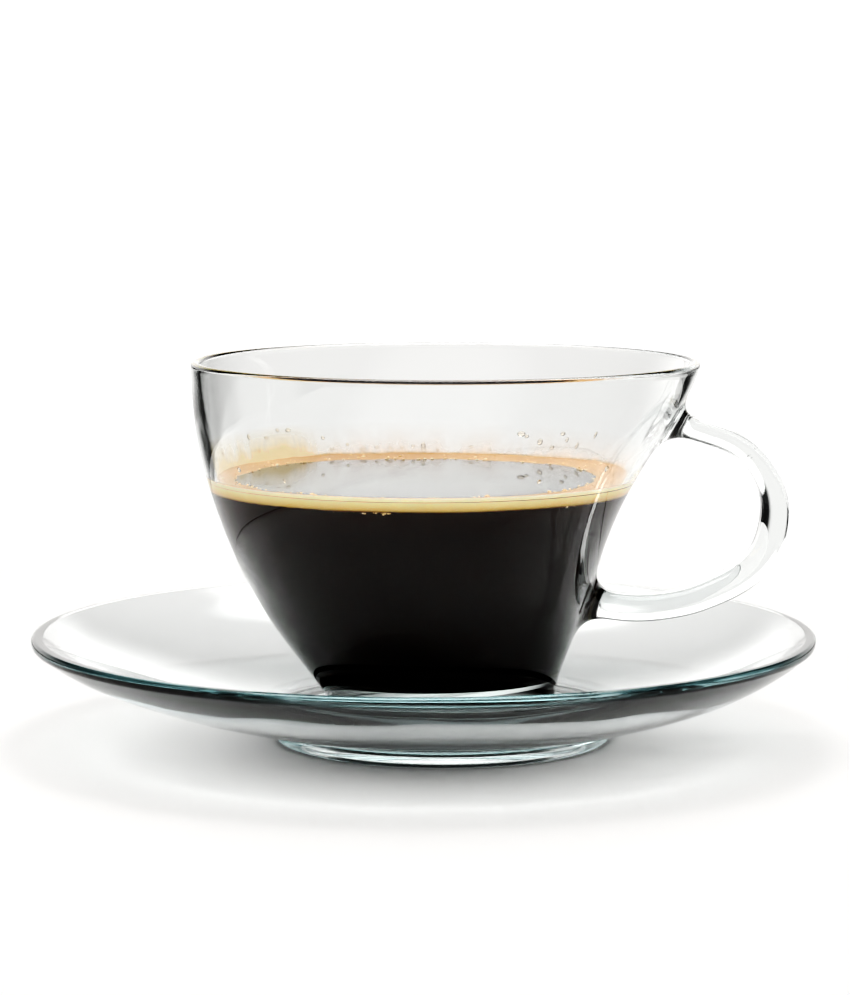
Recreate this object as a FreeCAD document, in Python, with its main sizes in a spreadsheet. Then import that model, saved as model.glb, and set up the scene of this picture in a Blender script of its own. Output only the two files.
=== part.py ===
# Glass coffee cup with a loop handle, filled with black coffee, on its glass saucer.
#
# Frame: millimetres, +Z up, origin on the ground under the middle of the saucer's
# rim.  +X points at the handle.  The cup leans: its belly is pushed away from the
# handle, so every level of the cup is a circle whose centre is shifted along X.
#
# Pieces: glass_cup, saucer, coffee, crema_ring.
import FreeCAD, Part
import Sketcher
import os

doc = FreeCAD.newDocument("CoffeeCup")
sheet = doc.addObject("Spreadsheet::Sheet", "Sizes")
_row = [0]


def size(alias, value, note=""):
    """One named size in the sheet."""
    _row[0] += 1
    sheet.set("A%d" % _row[0], alias)
    sheet.set("B%d" % _row[0], repr(float(value)))
    sheet.setAlias("B%d" % _row[0], alias)
    if note:
        sheet.set("C%d" % _row[0], note)


def table(prefix, names, rows):
    """A family of stations, e.g. cup_level_1, cup_shift_1, cup_radius_1."""
    for i, values in enumerate(rows, 1):
        for name, value in zip(names, values):
            size("%s_%s_%d" % (prefix, name, i), value)
    return len(rows)


# ---- named sizes -----------------------------------------------------------
# saucer
size("foot_radius", 33.2, "outer radius of the foot ring")
size("foot_bore", 27.4, "inner radius of the foot ring")
size("foot_height", 3.3, "ground to the underside beside the foot")
size("foot_round", 1.3, "rounding of the foot ring's two lower edges")
size("foot_shift", 3.6, "foot ring's centre along X")
size("lip_round", 1.1, "rounding of the saucer's lip")
saucer_under = table("under", ("level", "shift", "radius"), [
    (3.3, 3.6, 33.2),
    (4.7, 3.3, 40.5),
    (6.4, 2.9, 47.3),
    (8.6, 2.3, 54.6),
    (11.0, 1.7, 61.2),
    (13.8, 0.8, 67.0),
    (16.4, 0.3, 71.6),
    (19.2, 0.0, 75.2),
    (20.9, 0.0, 75.5),
])
saucer_top = table("well", ("level", "shift", "radius"), [
    (6.6, 3.6, 29.0),
    (7.5, 3.4, 34.8),
    (9.7, 2.9, 46.4),
    (12.0, 2.3, 54.2),
    (14.4, 1.7, 60.6),
    (17.0, 0.8, 66.2),
    (19.4, 0.3, 70.6),
    (22.4, 0.0, 74.6),
])
# cup, outside
size("cup_base", 6.6, "level of the cup's underside, on the saucer's well")
size("cup_top", 73.3, "level of the cup's rim")
size("base_round", 1.6, "rounding of the cup's lower edge")
size("rim_round", 0.75, "rounding of the rim's two edges")
cup_outer = table("cup", ("level", "shift", "radius"), [
    (6.6, 3.8, 21.6),
    (10.0, 3.1, 22.8),
    (14.0, 1.9, 24.9),
    (18.0, 1.1, 27.0),
    (23.0, 0.5, 29.8),
    (29.0, -0.4, 32.7),
    (36.0, -1.0, 35.4),
    (43.0, -1.1, 38.1),
    (50.0, -0.6, 40.9),
    (56.0, 0.6, 43.5),
    (62.0, 2.1, 45.9),
    (68.0, 3.3, 47.7),
    (73.3, 4.3, 48.9),
])
# cup, inside: wall about 1.8 mm, thicker towards the heavy base
size("floor_level", 12.7, "level of the inner floor")
size("floor_round", 3.6, "rounding where the floor meets the wall")
cup_inner = table("bore", ("level", "shift", "radius"), [
    (12.7, 0.9, 20.9),
    (15.0, 0.8, 22.3),
    (18.0, 0.6, 24.2),
    (23.0, 0.3, 27.3),
    (29.0, -0.5, 30.5),
    (36.0, -1.0, 33.4),
    (43.0, -1.1, 36.2),
    (50.0, -0.6, 39.0),
    (56.0, 0.6, 41.6),
    (62.0, 2.1, 44.0),
    (68.0, 3.3, 45.9),
    (75.0, 4.5, 47.4),
])
# handle: stations along the loop, from the upper joint to the lower one
handle = table("grip", ("reach", "level", "turn", "thick", "width"), [
    (44.6, 61.6, 8.0, 12.0, 12.6),
    (49.4, 60.7, 10.0, 8.6, 9.8),
    (53.2, 59.7, 14.0, 4.9, 8.6),
    (58.6, 57.9, 26.0, 4.2, 8.2),
    (63.3, 54.6, 44.0, 4.2, 8.2),
    (66.4, 50.0, 68.0, 4.6, 8.2),
    (67.5, 44.4, 88.0, 5.0, 8.2),
    (66.6, 38.6, 108.0, 5.1, 8.2),
    (63.2, 33.0, 132.0, 5.1, 8.2),
    (57.6, 29.2, 153.0, 5.0, 8.2),
    (51.2, 26.8, 166.0, 4.9, 8.4),
    (44.4, 25.7, 176.0, 5.0, 8.8),
    (38.6, 25.6, 183.0, 5.6, 9.6),
    (34.6, 26.4, 193.0, 8.2, 10.8),
    (29.0, 28.0, 200.0, 12.0, 12.6),
])
# drink
size("drink_level", 51.2, "level of the drink's surface")
size("crema_depth", 2.5, "depth of the crema ring")
size("crema_bore", 32.6, "inner radius of the crema ring at the surface")
size("crema_shift", -1.4, "centre of the crema's open middle along X")
size("crema_back", -2.6, "centre of the crema's open middle along Y")
size("crema_slope", 1.2, "how much wider the open middle is at the ring's underside")
doc.recompute()


def get(alias):
    return float(sheet.get(alias))


# ---- helpers ---------------------------------------------------------------
def plane(body, role):
    for feature in body.Origin.OriginFeatures:
        if feature.Role == role:
            return feature
    raise RuntimeError("no plane " + role)


def new_body(label):
    body = doc.addObject("PartDesign::Body", label)
    body.Label = label
    body.Placement = FreeCAD.Placement()
    doc.recompute()
    return body


def circle_sketch(body, name, level, shift, radius, depth=None):
    """A circle in a level plane: height, X shift and radius are sheet names."""
    sk = body.newObject("Sketcher::SketchObject", name)
    sk.AttachmentSupport = [(plane(body, "XY_Plane"), "")]
    sk.MapMode = "FlatFace"
    sk.setExpression("AttachmentOffset.Base.z", "Sizes." + level)
    sk.setExpression("AttachmentOffset.Base.x", "Sizes." + shift)
    if depth:
        sk.setExpression("AttachmentOffset.Base.y", "Sizes." + depth)
    up = FreeCAD.Vector(0, 0, 1)
    sk.addGeometry(Part.Circle(FreeCAD.Vector(0, 0, 0), up, 10.0), False)
    sk.addConstraint(Sketcher.Constraint("Coincident", 0, 3, -1, 1))
    c = sk.addConstraint(Sketcher.Constraint("Radius", 0, 10.0))
    sk.setExpression("Constraints[%d]" % c, "Sizes." + radius)
    return sk


def stacked(label, prefix, count):
    """A solid lofted smoothly through a stack of shifted circles."""
    body = new_body(label)
    sketches = [
        circle_sketch(body, "%s_section_%d" % (label, i), "%s_level_%d" % (prefix, i),
                      "%s_shift_%d" % (prefix, i), "%s_radius_%d" % (prefix, i))
        for i in range(1, count + 1)
    ]
    doc.recompute()
    loft = body.newObject("PartDesign::AdditiveLoft", label + "_loft")
    loft.Profile = sketches[0]
    loft.Sections = sketches[1:]
    loft.Ruled = False
    loft.Closed = False
    doc.recompute()
    body.Tip = loft
    return body


def edges_at(shape, test):
    """Names of the edges whose every vertex and middle pass the test."""
    names = []
    for i, e in enumerate(shape.Edges, 1):
        pts = [e.valueAt(e.FirstParameter + (e.LastParameter - e.FirstParameter) * t)
               for t in (0.0, 0.25, 0.5, 0.75)]
        if all(test(q) for q in pts):
            names.append("Edge%d" % i)
    return names


def rounded(label, base, jobs):
    """Part::Fillet of base: jobs are (sheet name of the radius, edge test)."""
    edges = []
    for alias, test in jobs:
        names = edges_at(base.Shape, test)
        if not names:
            raise RuntimeError("no edge for %s in %s" % (alias, label))
        edges += [(int(n[4:]), get(alias), get(alias)) for n in names]
    f = doc.addObject("Part::Fillet", label)
    f.Label = label
    f.Base = base
    f.Edges = edges
    doc.recompute()
    return f


def cut(label, base, tool):
    f = doc.addObject("Part::Cut", label)
    f.Base, f.Tool, f.Label = base, tool, label
    doc.recompute()
    return f


def fuse(label, base, tool):
    f = doc.addObject("Part::Fuse", label)
    f.Base, f.Tool, f.Label = base, tool, label
    doc.recompute()
    return f


def common(label, base, tool):
    f = doc.addObject("Part::Common", label)
    f.Base, f.Tool, f.Label = base, tool, label
    doc.recompute()
    return f


def near(value, target, tol=0.02):
    return abs(value - target) < tol


# ---- saucer ----------------------------------------------------------------
dish = stacked("dish_outside", "under", saucer_under)

well = stacked("dish_inside", "well", saucer_top)

foot = new_body("foot_ring")
ring = foot.newObject("Sketcher::SketchObject", "foot_section")
ring.AttachmentSupport = [(plane(foot, "XY_Plane"), "")]
ring.MapMode = "FlatFace"
ring.setExpression("AttachmentOffset.Base.x", "Sizes.foot_shift")
for i, alias in enumerate(("foot_radius", "foot_bore")):
    ring.addGeometry(Part.Circle(FreeCAD.Vector(0, 0, 0), FreeCAD.Vector(0, 0, 1), 20.0 + 5 * (1 - i)), False)
    ring.addConstraint(Sketcher.Constraint("Coincident", i, 3, -1, 1))
    c = ring.addConstraint(Sketcher.Constraint("Radius", i, 20.0 + 5 * (1 - i)))
    ring.setExpression("Constraints[%d]" % c, "Sizes." + alias)
doc.recompute()
pad = foot.newObject("PartDesign::Pad", "foot_pad")
pad.Profile = ring
pad.setExpression("Length", "Sizes.foot_height + 0.8")
doc.recompute()
foot.Tip = pad

dish_cut = cut("dish_shell", dish, well)
dish_on_foot = fuse("dish_on_foot", dish_cut, foot)
top_level = get("under_level_%d" % saucer_under)
saucer = rounded("saucer", dish_on_foot, [
    ("lip_round", lambda q: near(q.z, top_level)),
    ("foot_round", lambda q: near(q.z, 0.0)),
])

# ---- cup -------------------------------------------------------------------
outside = stacked("cup_outside", "cup", cup_outer)
inside = stacked("cup_inside", "bore", cup_inner)

loop = new_body("handle_loop")
sections = []
for i in range(1, handle + 1):
    sk = loop.newObject("Sketcher::SketchObject", "grip_section_%d" % i)
    sk.AttachmentSupport = [(plane(loop, "XY_Plane"), "")]
    sk.MapMode = "FlatFace"
    # the section plane stands across the loop: tangent along (cos turn, 0, -sin turn)
    sk.AttachmentOffset = FreeCAD.Placement(
        FreeCAD.Vector(get("grip_reach_%d" % i), 0, get("grip_level_%d" % i)),
        FreeCAD.Rotation(FreeCAD.Vector(0, 1, 0), 90.0 + get("grip_turn_%d" % i)))
    sk.setExpression("AttachmentOffset.Base.x", "Sizes.grip_reach_%d" % i)
    sk.setExpression("AttachmentOffset.Base.z", "Sizes.grip_level_%d" % i)
    sk.setExpression("AttachmentOffset.Rotation.Angle", "90 + Sizes.grip_turn_%d" % i)
    a, b = get("grip_thick_%d" % i) / 2, get("grip_width_%d" % i) / 2
    sk.addGeometry(Part.Ellipse(FreeCAD.Vector(0, b, 0), FreeCAD.Vector(a, 0, 0), FreeCAD.Vector(0, 0, 0)), False)
    sk.exposeInternalGeometry(0)
    sk.addConstraint(Sketcher.Constraint("Coincident", 0, 3, -1, 1))
    sk.addConstraint(Sketcher.Constraint("Vertical", 1))
    c = sk.addConstraint(Sketcher.Constraint("Distance", 1, 2 * b))
    sk.setExpression("Constraints[%d]" % c, "Sizes.grip_width_%d" % i)
    c = sk.addConstraint(Sketcher.Constraint("Distance", 2, 2 * a))
    sk.setExpression("Constraints[%d]" % c, "Sizes.grip_thick_%d" % i)
    sections.append(sk)
doc.recompute()
grip = loop.newObject("PartDesign::AdditiveLoft", "grip_loft")
grip.Profile = sections[0]
grip.Sections = sections[1:]
grip.Ruled = False
doc.recompute()
loop.Tip = grip

cup_solid = fuse("cup_with_loop", outside, loop)
glass_raw = cut("glass_raw", cup_solid, inside)
glass_cup = rounded("glass_cup", glass_raw, [
    ("rim_round", lambda q: near(q.z, get("cup_top"))),
    ("base_round", lambda q: near(q.z, get("cup_base"))),
    ("floor_round", lambda q: near(q.z, get("floor_level"))),
])

# ---- drink -----------------------------------------------------------------
below = doc.addObject("Part::Cylinder", "drink_reach")
below.Radius = 60.0
below.setExpression("Height", "Sizes.drink_level")
drink_raw = common("drink_raw", inside, below)
drink = rounded("drink", drink_raw, [("floor_round", lambda q: near(q.z, get("floor_level")))])

hole = new_body("crema_opening")
low = circle_sketch(hole, "opening_low", "drink_level", "crema_shift", "crema_bore", "crema_back")
low.setExpression("AttachmentOffset.Base.z", "Sizes.drink_level - Sizes.crema_depth")
low.setExpression("Constraints[1]", "Sizes.crema_bore + Sizes.crema_slope")
high = circle_sketch(hole, "opening_high", "drink_level", "crema_shift", "crema_bore", "crema_back")
high.setExpression("AttachmentOffset.Base.z", "Sizes.drink_level + 0.5")
doc.recompute()
opening = hole.newObject("PartDesign::AdditiveLoft", "opening_loft")
opening.Profile = low
opening.Sections = [high]
doc.recompute()
hole.Tip = opening

slab = doc.addObject("Part::Cylinder", "crema_slab")
slab.Radius = 60.0
slab.setExpression("Height", "Sizes.crema_depth")
slab.setExpression("Placement.Base.z", "Sizes.drink_level - Sizes.crema_depth")
ring_reach = cut("crema_reach", slab, hole)
crema_ring = common("crema_ring", drink, ring_reach)
coffee = cut("coffee", drink, ring_reach)

# ---- checks and files ------------------------------------------------------
doc.recompute()
for obj in doc.Objects:
    if "Invalid" in obj.State or "Error" in obj.State:
        raise RuntimeError("%s: %s" % (obj.Name, obj.State))

os.makedirs("parts", exist_ok=True)
for node in (glass_cup, saucer, coffee, crema_ring):
    shape = node.Shape
    if shape.isNull() or not shape.isValid() or len(shape.Solids) != 1:
        raise RuntimeError("bad shape in " + node.Label)
    box = shape.BoundBox
    print("%-11s %9.0f mm3  x %.2f %.2f  y %.2f %.2f  z %.2f %.2f" % (
        node.Label, shape.Volume, box.XMin, box.XMax, box.YMin, box.YMax, box.ZMin, box.ZMax))
    shape.Solids[0].exportStep("parts/%s.step" % node.Label)
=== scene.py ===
import bpy
import math
import numpy as np
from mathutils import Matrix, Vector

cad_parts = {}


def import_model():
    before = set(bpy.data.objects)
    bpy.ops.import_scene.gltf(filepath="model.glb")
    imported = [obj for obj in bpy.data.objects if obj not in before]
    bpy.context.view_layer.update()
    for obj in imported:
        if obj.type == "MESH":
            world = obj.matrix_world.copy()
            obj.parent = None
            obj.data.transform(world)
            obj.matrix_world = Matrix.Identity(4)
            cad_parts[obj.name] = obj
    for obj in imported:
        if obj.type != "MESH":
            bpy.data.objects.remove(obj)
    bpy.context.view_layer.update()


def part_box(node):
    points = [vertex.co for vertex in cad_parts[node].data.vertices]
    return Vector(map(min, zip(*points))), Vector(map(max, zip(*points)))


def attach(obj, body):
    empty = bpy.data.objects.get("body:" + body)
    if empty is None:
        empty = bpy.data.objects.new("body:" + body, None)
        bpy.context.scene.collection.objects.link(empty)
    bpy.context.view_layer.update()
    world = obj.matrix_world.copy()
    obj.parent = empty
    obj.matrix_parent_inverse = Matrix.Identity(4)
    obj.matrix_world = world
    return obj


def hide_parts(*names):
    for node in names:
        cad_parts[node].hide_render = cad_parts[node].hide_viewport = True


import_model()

# All shapes below are worked out in millimetres, in the frame's own axes, and
# turned into metres when a mesh is made.
MM = 0.001
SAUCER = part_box("saucer")
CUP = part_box("glass_cup")
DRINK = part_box("coffee")
GROUND = float(SAUCER[0][2]) / MM
BASE = float(CUP[0][2]) / MM            # underside of the cup
TOP = float(CUP[1][2]) / MM             # rim of the cup
LEVEL = float(DRINK[1][2]) / MM         # surface of the drink
FLOOR = float(DRINK[0][2]) / MM         # inner floor of the cup
rng = np.random.default_rng(7)


# ---------------------------------------------------------------- curve tools
def spline(xs, ys):
    """Natural cubic spline through stations."""
    x, y = np.asarray(xs, float), np.asarray(ys, float)
    n, step = len(x), np.diff(x)
    a, b = np.zeros((n, n)), np.zeros(n)
    a[0, 0] = a[-1, -1] = 1.0
    for i in range(1, n - 1):
        a[i, i - 1], a[i, i], a[i, i + 1] = step[i - 1], 2 * (step[i - 1] + step[i]), step[i]
        b[i] = 6 * ((y[i + 1] - y[i]) / step[i] - (y[i] - y[i - 1]) / step[i - 1])
    m = np.linalg.solve(a, b)

    def f(t):
        t = np.clip(np.asarray(t, float), x[0], x[-1])
        i = np.clip(np.searchsorted(x, t) - 1, 0, n - 2)
        w = step[i]
        p, q = (x[i + 1] - t) / w, (t - x[i]) / w
        return p * y[i] + q * y[i + 1] + ((p**3 - p) * m[i] + (q**3 - q) * m[i + 1]) * w * w / 6
    return f


def fair(xs, ys, degree):
    """A smooth polynomial through stations, for glass that shows every ripple."""
    x = np.asarray(xs, float)
    mid, half = (x[0] + x[-1]) / 2, (x[-1] - x[0]) / 2
    coef = np.polyfit((x - mid) / half, ys, degree)
    return lambda t: np.polyval(coef, (np.asarray(t, float) - mid) / half)


def rounded(points, radii, steps=8):
    """A polyline in (r, z) with an arc at each inner corner."""
    out = [points[0]]
    for i in range(1, len(points) - 1):
        p0, p1, p2 = (np.array(points[j], float) for j in (i - 1, i, i + 1))
        r = radii[i]
        u, v = p0 - p1, p2 - p1
        lu, lv = np.linalg.norm(u), np.linalg.norm(v)
        u, v = u / lu, v / lv
        ang = math.acos(max(-1.0, min(1.0, float(u @ v))))
        if r <= 0 or ang > math.pi - 0.02:
            out.append(tuple(p1))
            continue
        d = min(r / math.tan(ang / 2), 0.49 * lu, 0.49 * lv)
        r = d * math.tan(ang / 2)
        c = p1 + (u + v) / np.linalg.norm(u + v) * (r / math.sin(ang / 2))
        a0, a1 = p1 + u * d - c, p1 + v * d - c
        t0, t1 = math.atan2(a0[1], a0[0]), math.atan2(a1[1], a1[0])
        dt = (t1 - t0 + math.pi) % (2 * math.pi) - math.pi
        for k in range(steps + 1):
            t = t0 + dt * k / steps
            out.append((c[0] + r * math.cos(t), c[1] + r * math.sin(t)))
    out.append(points[-1])
    return out


# ---------------------------------------------------------------- stations (mm)
CUP_OUT = np.array([
    (6.6, 3.8, 21.6), (10.0, 3.1, 22.8), (14.0, 1.9, 24.9), (18.0, 1.1, 27.0), (23.0, 0.5, 29.8),
    (29.0, -0.4, 32.7), (36.0, -1.0, 35.4), (43.0, -1.1, 38.1), (50.0, -0.6, 40.9),
    (56.0, 0.6, 43.5), (62.0, 2.1, 45.9), (68.0, 3.3, 47.7), (73.3, 4.3, 48.9)])
CUP_IN = np.array([
    (12.7, 0.9, 20.9), (15.0, 0.8, 22.3), (18.0, 0.6, 24.2), (23.0, 0.3, 27.3), (29.0, -0.5, 30.5),
    (36.0, -1.0, 33.4), (43.0, -1.1, 36.2), (50.0, -0.6, 39.0), (56.0, 0.6, 41.6),
    (62.0, 2.1, 44.0), (68.0, 3.3, 45.9), (75.0, 4.5, 47.4)])
out_r, out_c = fair(CUP_OUT[:, 0], CUP_OUT[:, 2], 6), fair(CUP_OUT[:, 0], CUP_OUT[:, 1], 6)
in_r, in_c = fair(CUP_IN[:, 0], CUP_IN[:, 2], 6), fair(CUP_IN[:, 0], CUP_IN[:, 1], 6)

# the loop's middle line (x, z) and its thickness, from the upper joint to the lower one
LOOP = np.array([
    (44.0, 61.9, 4.4), (47.5, 61.2, 4.3), (50.8, 60.4, 4.2), (54.3, 59.3, 4.1), (59.7, 57.2, 4.1),
    (62.9, 54.9, 4.2), (65.2, 52.1, 4.4), (66.7, 49.3, 4.7), (67.45, 46.2, 5.0), (67.5, 43.0, 5.1),
    (66.9, 39.4, 5.2), (65.1, 35.3, 5.1), (61.0, 31.2, 5.0), (56.3, 28.7, 4.9), (51.6, 26.9, 4.8),
    (46.1, 25.8, 4.8), (40.0, 25.5, 4.9), (35.0, 26.1, 5.0), (29.5, 27.3, 5.2)])


# ---------------------------------------------------------------- mesh tools
def make_object(name, verts_mm, faces, material, smooth=True):
    mesh = bpy.data.meshes.new(name)
    mesh.from_pydata([tuple(v) for v in np.asarray(verts_mm) * MM], [], [tuple(int(i) for i in f) for f in faces])
    mesh.update()
    import bmesh
    bm = bmesh.new()
    bm.from_mesh(mesh)
    loose = [v for v in bm.verts if not v.link_faces]
    if loose:
        bmesh.ops.delete(bm, geom=loose, context="VERTS")
    bmesh.ops.recalc_face_normals(bm, faces=bm.faces)
    bm.to_mesh(mesh)
    bm.free()
    if smooth:
        mesh.polygons.foreach_set("use_smooth", [True] * len(mesh.polygons))
    for m in (material if isinstance(material, (list, tuple)) else [material]):
        mesh.materials.append(m)
    obj = bpy.data.objects.new(name, mesh)
    bpy.context.scene.collection.objects.link(obj)
    return obj


def ring_rows(rows, theta):
    """Vertices and quads of a stack of circles (radius, z, centre x); a first or last
    row of radius 0 is a pole."""
    n = len(theta)
    verts, index = [], []
    for r, z, c in rows:
        if r < 1e-6:
            index.append(np.full(n, len(verts)))
            verts.append((c, 0.0, z))
        else:
            index.append(np.arange(len(verts), len(verts) + n))
            verts.extend(zip(c + r * np.cos(theta), r * np.sin(theta), np.full(n, z)))
    faces = {}
    for k in range(len(rows) - 1):
        a, b = index[k], index[k + 1]
        for i in range(n):
            j = (i + 1) % n
            f = [a[i], a[j], b[j], b[i]]
            g = [f[0]]
            for q in f[1:]:
                if q != g[-1] and q != g[0]:
                    g.append(q)
            if len(g) > 2:
                faces[(k, i)] = g
    return np.array(verts), faces, index


# ---------------------------------------------------------------- the handle's field
def loop_line():
    d = np.concatenate([[0], np.cumsum(np.hypot(*np.diff(LOOP[:, :2], axis=0).T))])
    s = np.linspace(0, d[-1], 420)
    return np.stack([spline(d, LOOP[:, k])(s) for k in range(3)], 1)


LINE = loop_line()
SEG_A, SEG_D = LINE[:-1, :2], np.diff(LINE[:, :2], axis=0)
SEG_L2 = (SEG_D**2).sum(1)
COARSE = np.arange(3, len(LINE) - 1, 7)


def loop_hint(x, z):
    """The part of the middle line that each point is nearest to."""
    out = np.empty(len(x), int)
    for s in range(0, len(x), 40000):
        q = (x[s:s + 40000, None] - LINE[COARSE, 0])**2 + (z[s:s + 40000, None] - LINE[COARSE, 1])**2
        out[s:s + 40000] = COARSE[q.argmin(1)]
    return out


def loop_near(x, z, hint):
    """Distance in the loop's plane to its middle line, negative towards the hole, and
    the thickness there."""
    best = np.full(len(x), 1e9)
    thick, side = np.zeros(len(x)), np.ones(len(x))
    for k in range(-8, 9):
        i = np.clip(hint + k, 0, len(SEG_A) - 1)
        px, pz = x - SEG_A[i, 0], z - SEG_A[i, 1]
        t = np.clip((px * SEG_D[i, 0] + pz * SEG_D[i, 1]) / SEG_L2[i], 0, 1)
        q = (px - t * SEG_D[i, 0])**2 + (pz - t * SEG_D[i, 1])**2
        near = q < best
        best = np.where(near, q, best)
        thick = np.where(near, LINE[i, 2] * (1 - t) + LINE[i + 1, 2] * t, thick)
        side = np.where(near, np.sign(SEG_D[i, 0] * pz - SEG_D[i, 1] * px + 1e-12), side)
    return np.sqrt(best) * side, thick


def skin(p, hint=None):
    """Signed distance (mm) to the outside of the cup with its loop, blended like
    pressed glass where the loop leaves the wall."""
    x, y, z = p[:, 0], p[:, 1], p[:, 2]
    slope = (out_r(z + 0.05) - out_r(z - 0.05)) / 0.1
    body = (np.hypot(x - out_c(z), y) - out_r(z)) / np.sqrt(1 + slope**2)
    dist, thick = loop_near(x, z, loop_hint(x, z) if hint is None else hint)
    a, b = thick / 2, 4.1
    # well rounded towards the hole, flatter outside
    w = np.clip(0.5 + dist / 0.8, 0, 1)
    rc = a * (0.97 - 0.50 * w * w * (3 - 2 * w))
    u, v = np.abs(dist) - (a - rc), np.abs(y) - (b - rc)
    bar = np.hypot(np.maximum(u, 0), np.maximum(v, 0)) + np.minimum(np.maximum(u, v), 0) - rc
    k = 5.0
    blend = np.maximum(k - np.abs(body - bar), 0) / k
    return np.minimum(body, bar) - blend**2 * k / 4


def settle(p, free, rounds=5):
    """Move free points onto the skin along its gradient."""
    p = p.copy()
    hint = loop_hint(p[free, 0], p[free, 2])
    for _ in range(rounds):
        q = p[free]
        f = skin(q, hint)
        g = np.stack([(skin(q + e, hint) - skin(q - e, hint)) / 0.02 for e in 0.01 * np.eye(3)], 1)
        step = f[:, None] * g / np.maximum((g**2).sum(1), 0.05)[:, None]
        size = np.linalg.norm(step, axis=1)
        step *= np.minimum(1, 0.6 / np.maximum(size, 1e-9))[:, None]
        p[free] = q - step
    return p


# ---------------------------------------------------------------- the cup's glass
def cup_mesh():
    fine, span = math.radians(0.5), 42                    # columns in the loop's window
    window = np.arange(-span, span + 1) * fine
    rest = np.linspace(window[-1], 2 * math.pi + window[0], 168)[1:-1]
    theta = np.concatenate([window, rest])
    rows, kinds = [], []

    def add(r, z, c, kind):
        rows.append((float(r), float(z), float(c)))
        kinds.append(kind)

    rb = 1.6
    zb = BASE + rb
    flat = float(out_r(zb)) - rb
    for r in np.linspace(0, flat, 22)[:-1]:
        dish = 0.55 * (0.5 + 0.5 * math.cos(math.pi * min(1, max(0, (r - 13.5) / 3.5))))
        add(r, BASE + dish, out_c(zb), "under")
    for t in np.linspace(-90, 0, 9)[:-1]:
        add(flat + rb * math.cos(math.radians(t)), zb + rb * math.sin(math.radians(t)), out_c(zb), "under")
    lip = 0.92
    z1 = TOP - lip
    for z in np.linspace(zb, z1, 119):
        add(out_r(z), z, out_c(z), "wall")
    ro, ri = float(out_r(z1)), float(in_r(z1))
    co, ci = float(out_c(z1)), float(in_c(z1))
    for t in np.linspace(0, 180, 15)[1:-1]:
        w = 0.5 - 0.5 * math.cos(math.radians(t))
        add((ro + ri) / 2 + (ro - ri) / 2 * math.cos(math.radians(t)), z1 + lip * math.sin(math.radians(t)) ** 0.9,
            co * (1 - w) + ci * w, "lip")
    for r, z, c in inner_rows(z1, 70):
        add(r, z, c, "in")
    verts, faces, index = ring_rows(rows, theta)

    wall = [i for i, k in enumerate(kinds) if k == "wall"]
    zs = np.array([rows[i][1] for i in wall])
    k0, k1 = int(np.searchsorted(zs, 14.5)), int(np.searchsorted(zs, 70.6))
    i0, i1 = 0, 2 * span
    for k in range(k0, k1):
        for i in range(i0, i1):
            faces.pop((wall[k], i), None)
    # grid nodes half way between the columns and rows of the window
    tg = (np.arange(i0, i1 + 2) - 0.5 - span) * fine
    zg = np.concatenate([[zs[k0] - (zs[1] - zs[0]) / 2], (zs[k0:k1] + zs[k0 + 1:k1 + 1]) / 2, [zs[k1] + (zs[1] - zs[0]) / 2]])
    dn = 0.5
    ng = (np.arange(-3, 79) + 0.5) * dn
    nj0 = 2                                               # the layer of cells that holds the wall's own surface
    T, Z, N = np.meshgrid(tg, zg, ng, indexing="ij")
    R = out_r(Z) + N
    pts = np.stack([out_c(Z) + R * np.cos(T), R * np.sin(T), Z], -1)
    shape = pts.shape[:3]
    field = skin(pts.reshape(-1, 3)).reshape(shape)
    inside = field < 0
    # one vertex for each mixed cell, at the middle of its edge crossings
    cells = tuple(s - 1 for s in shape)
    total, count = np.zeros(cells + (3,)), np.zeros(cells)
    for axis in range(3):
        lo = [slice(None)] * 3
        hi = [slice(None)] * 3
        lo[axis], hi[axis] = slice(0, -1), slice(1, None)
        a, b = field[tuple(lo)], field[tuple(hi)]
        cross = inside[tuple(lo)] != inside[tuple(hi)]
        w = np.where(cross, a / np.where(a == b, 1, a - b), 0)[..., None]
        q = pts[tuple(lo)] * (1 - w) + pts[tuple(hi)] * w
        q = q * cross[..., None]
        others = [ax for ax in range(3) if ax != axis]
        for s1 in (0, 1):
            for s2 in (0, 1):
                sl = [slice(None)] * 3
                sl[others[0]] = slice(s1, s1 + cells[others[0]])
                sl[others[1]] = slice(s2, s2 + cells[others[1]])
                total += q[tuple(sl)]
                count += cross[tuple(sl)]
    mixed = count > 0
    ids = np.full(cells, -1, int)
    base = len(verts)
    border = np.zeros(cells, bool)
    border[0], border[-1] = True, True
    border[:, 0], border[:, -1] = True, True
    free_cells = np.argwhere(mixed & ~border)
    ids[tuple(free_cells.T)] = base + np.arange(len(free_cells))
    new = total[tuple(free_cells.T)] / count[tuple(free_cells.T)][:, None]
    for i, k, n in np.argwhere(mixed & border):
        if n == nj0:
            ids[i, k, n] = index[wall[k0 + k]][i0 + i]
    verts = np.concatenate([verts, new])
    quads = []
    for axis in range(3):
        o1, o2 = [(1, 2), (2, 0), (0, 1)][axis]
        lo = [slice(None)] * 3
        hi = [slice(None)] * 3
        lo[axis], hi[axis] = slice(0, -1), slice(1, None)
        cross = np.argwhere(inside[tuple(lo)] != inside[tuple(hi)])
        for e in cross:
            if e[o1] == 0 or e[o2] == 0 or e[o1] >= shape[o1] - 1 or e[o2] >= shape[o2] - 1:
                continue
            quad = []
            for d1, d2 in ((-1, -1), (0, -1), (0, 0), (-1, 0)):
                c = e.copy()
                c[o1] += d1
                c[o2] += d2
                quad.append(ids[tuple(c)])
            if min(quad) >= 0:
                quads.append(quad)
    quads = np.array(quads)
    free = np.arange(base, len(verts))
    verts = settle(verts, free, 5)
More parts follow.
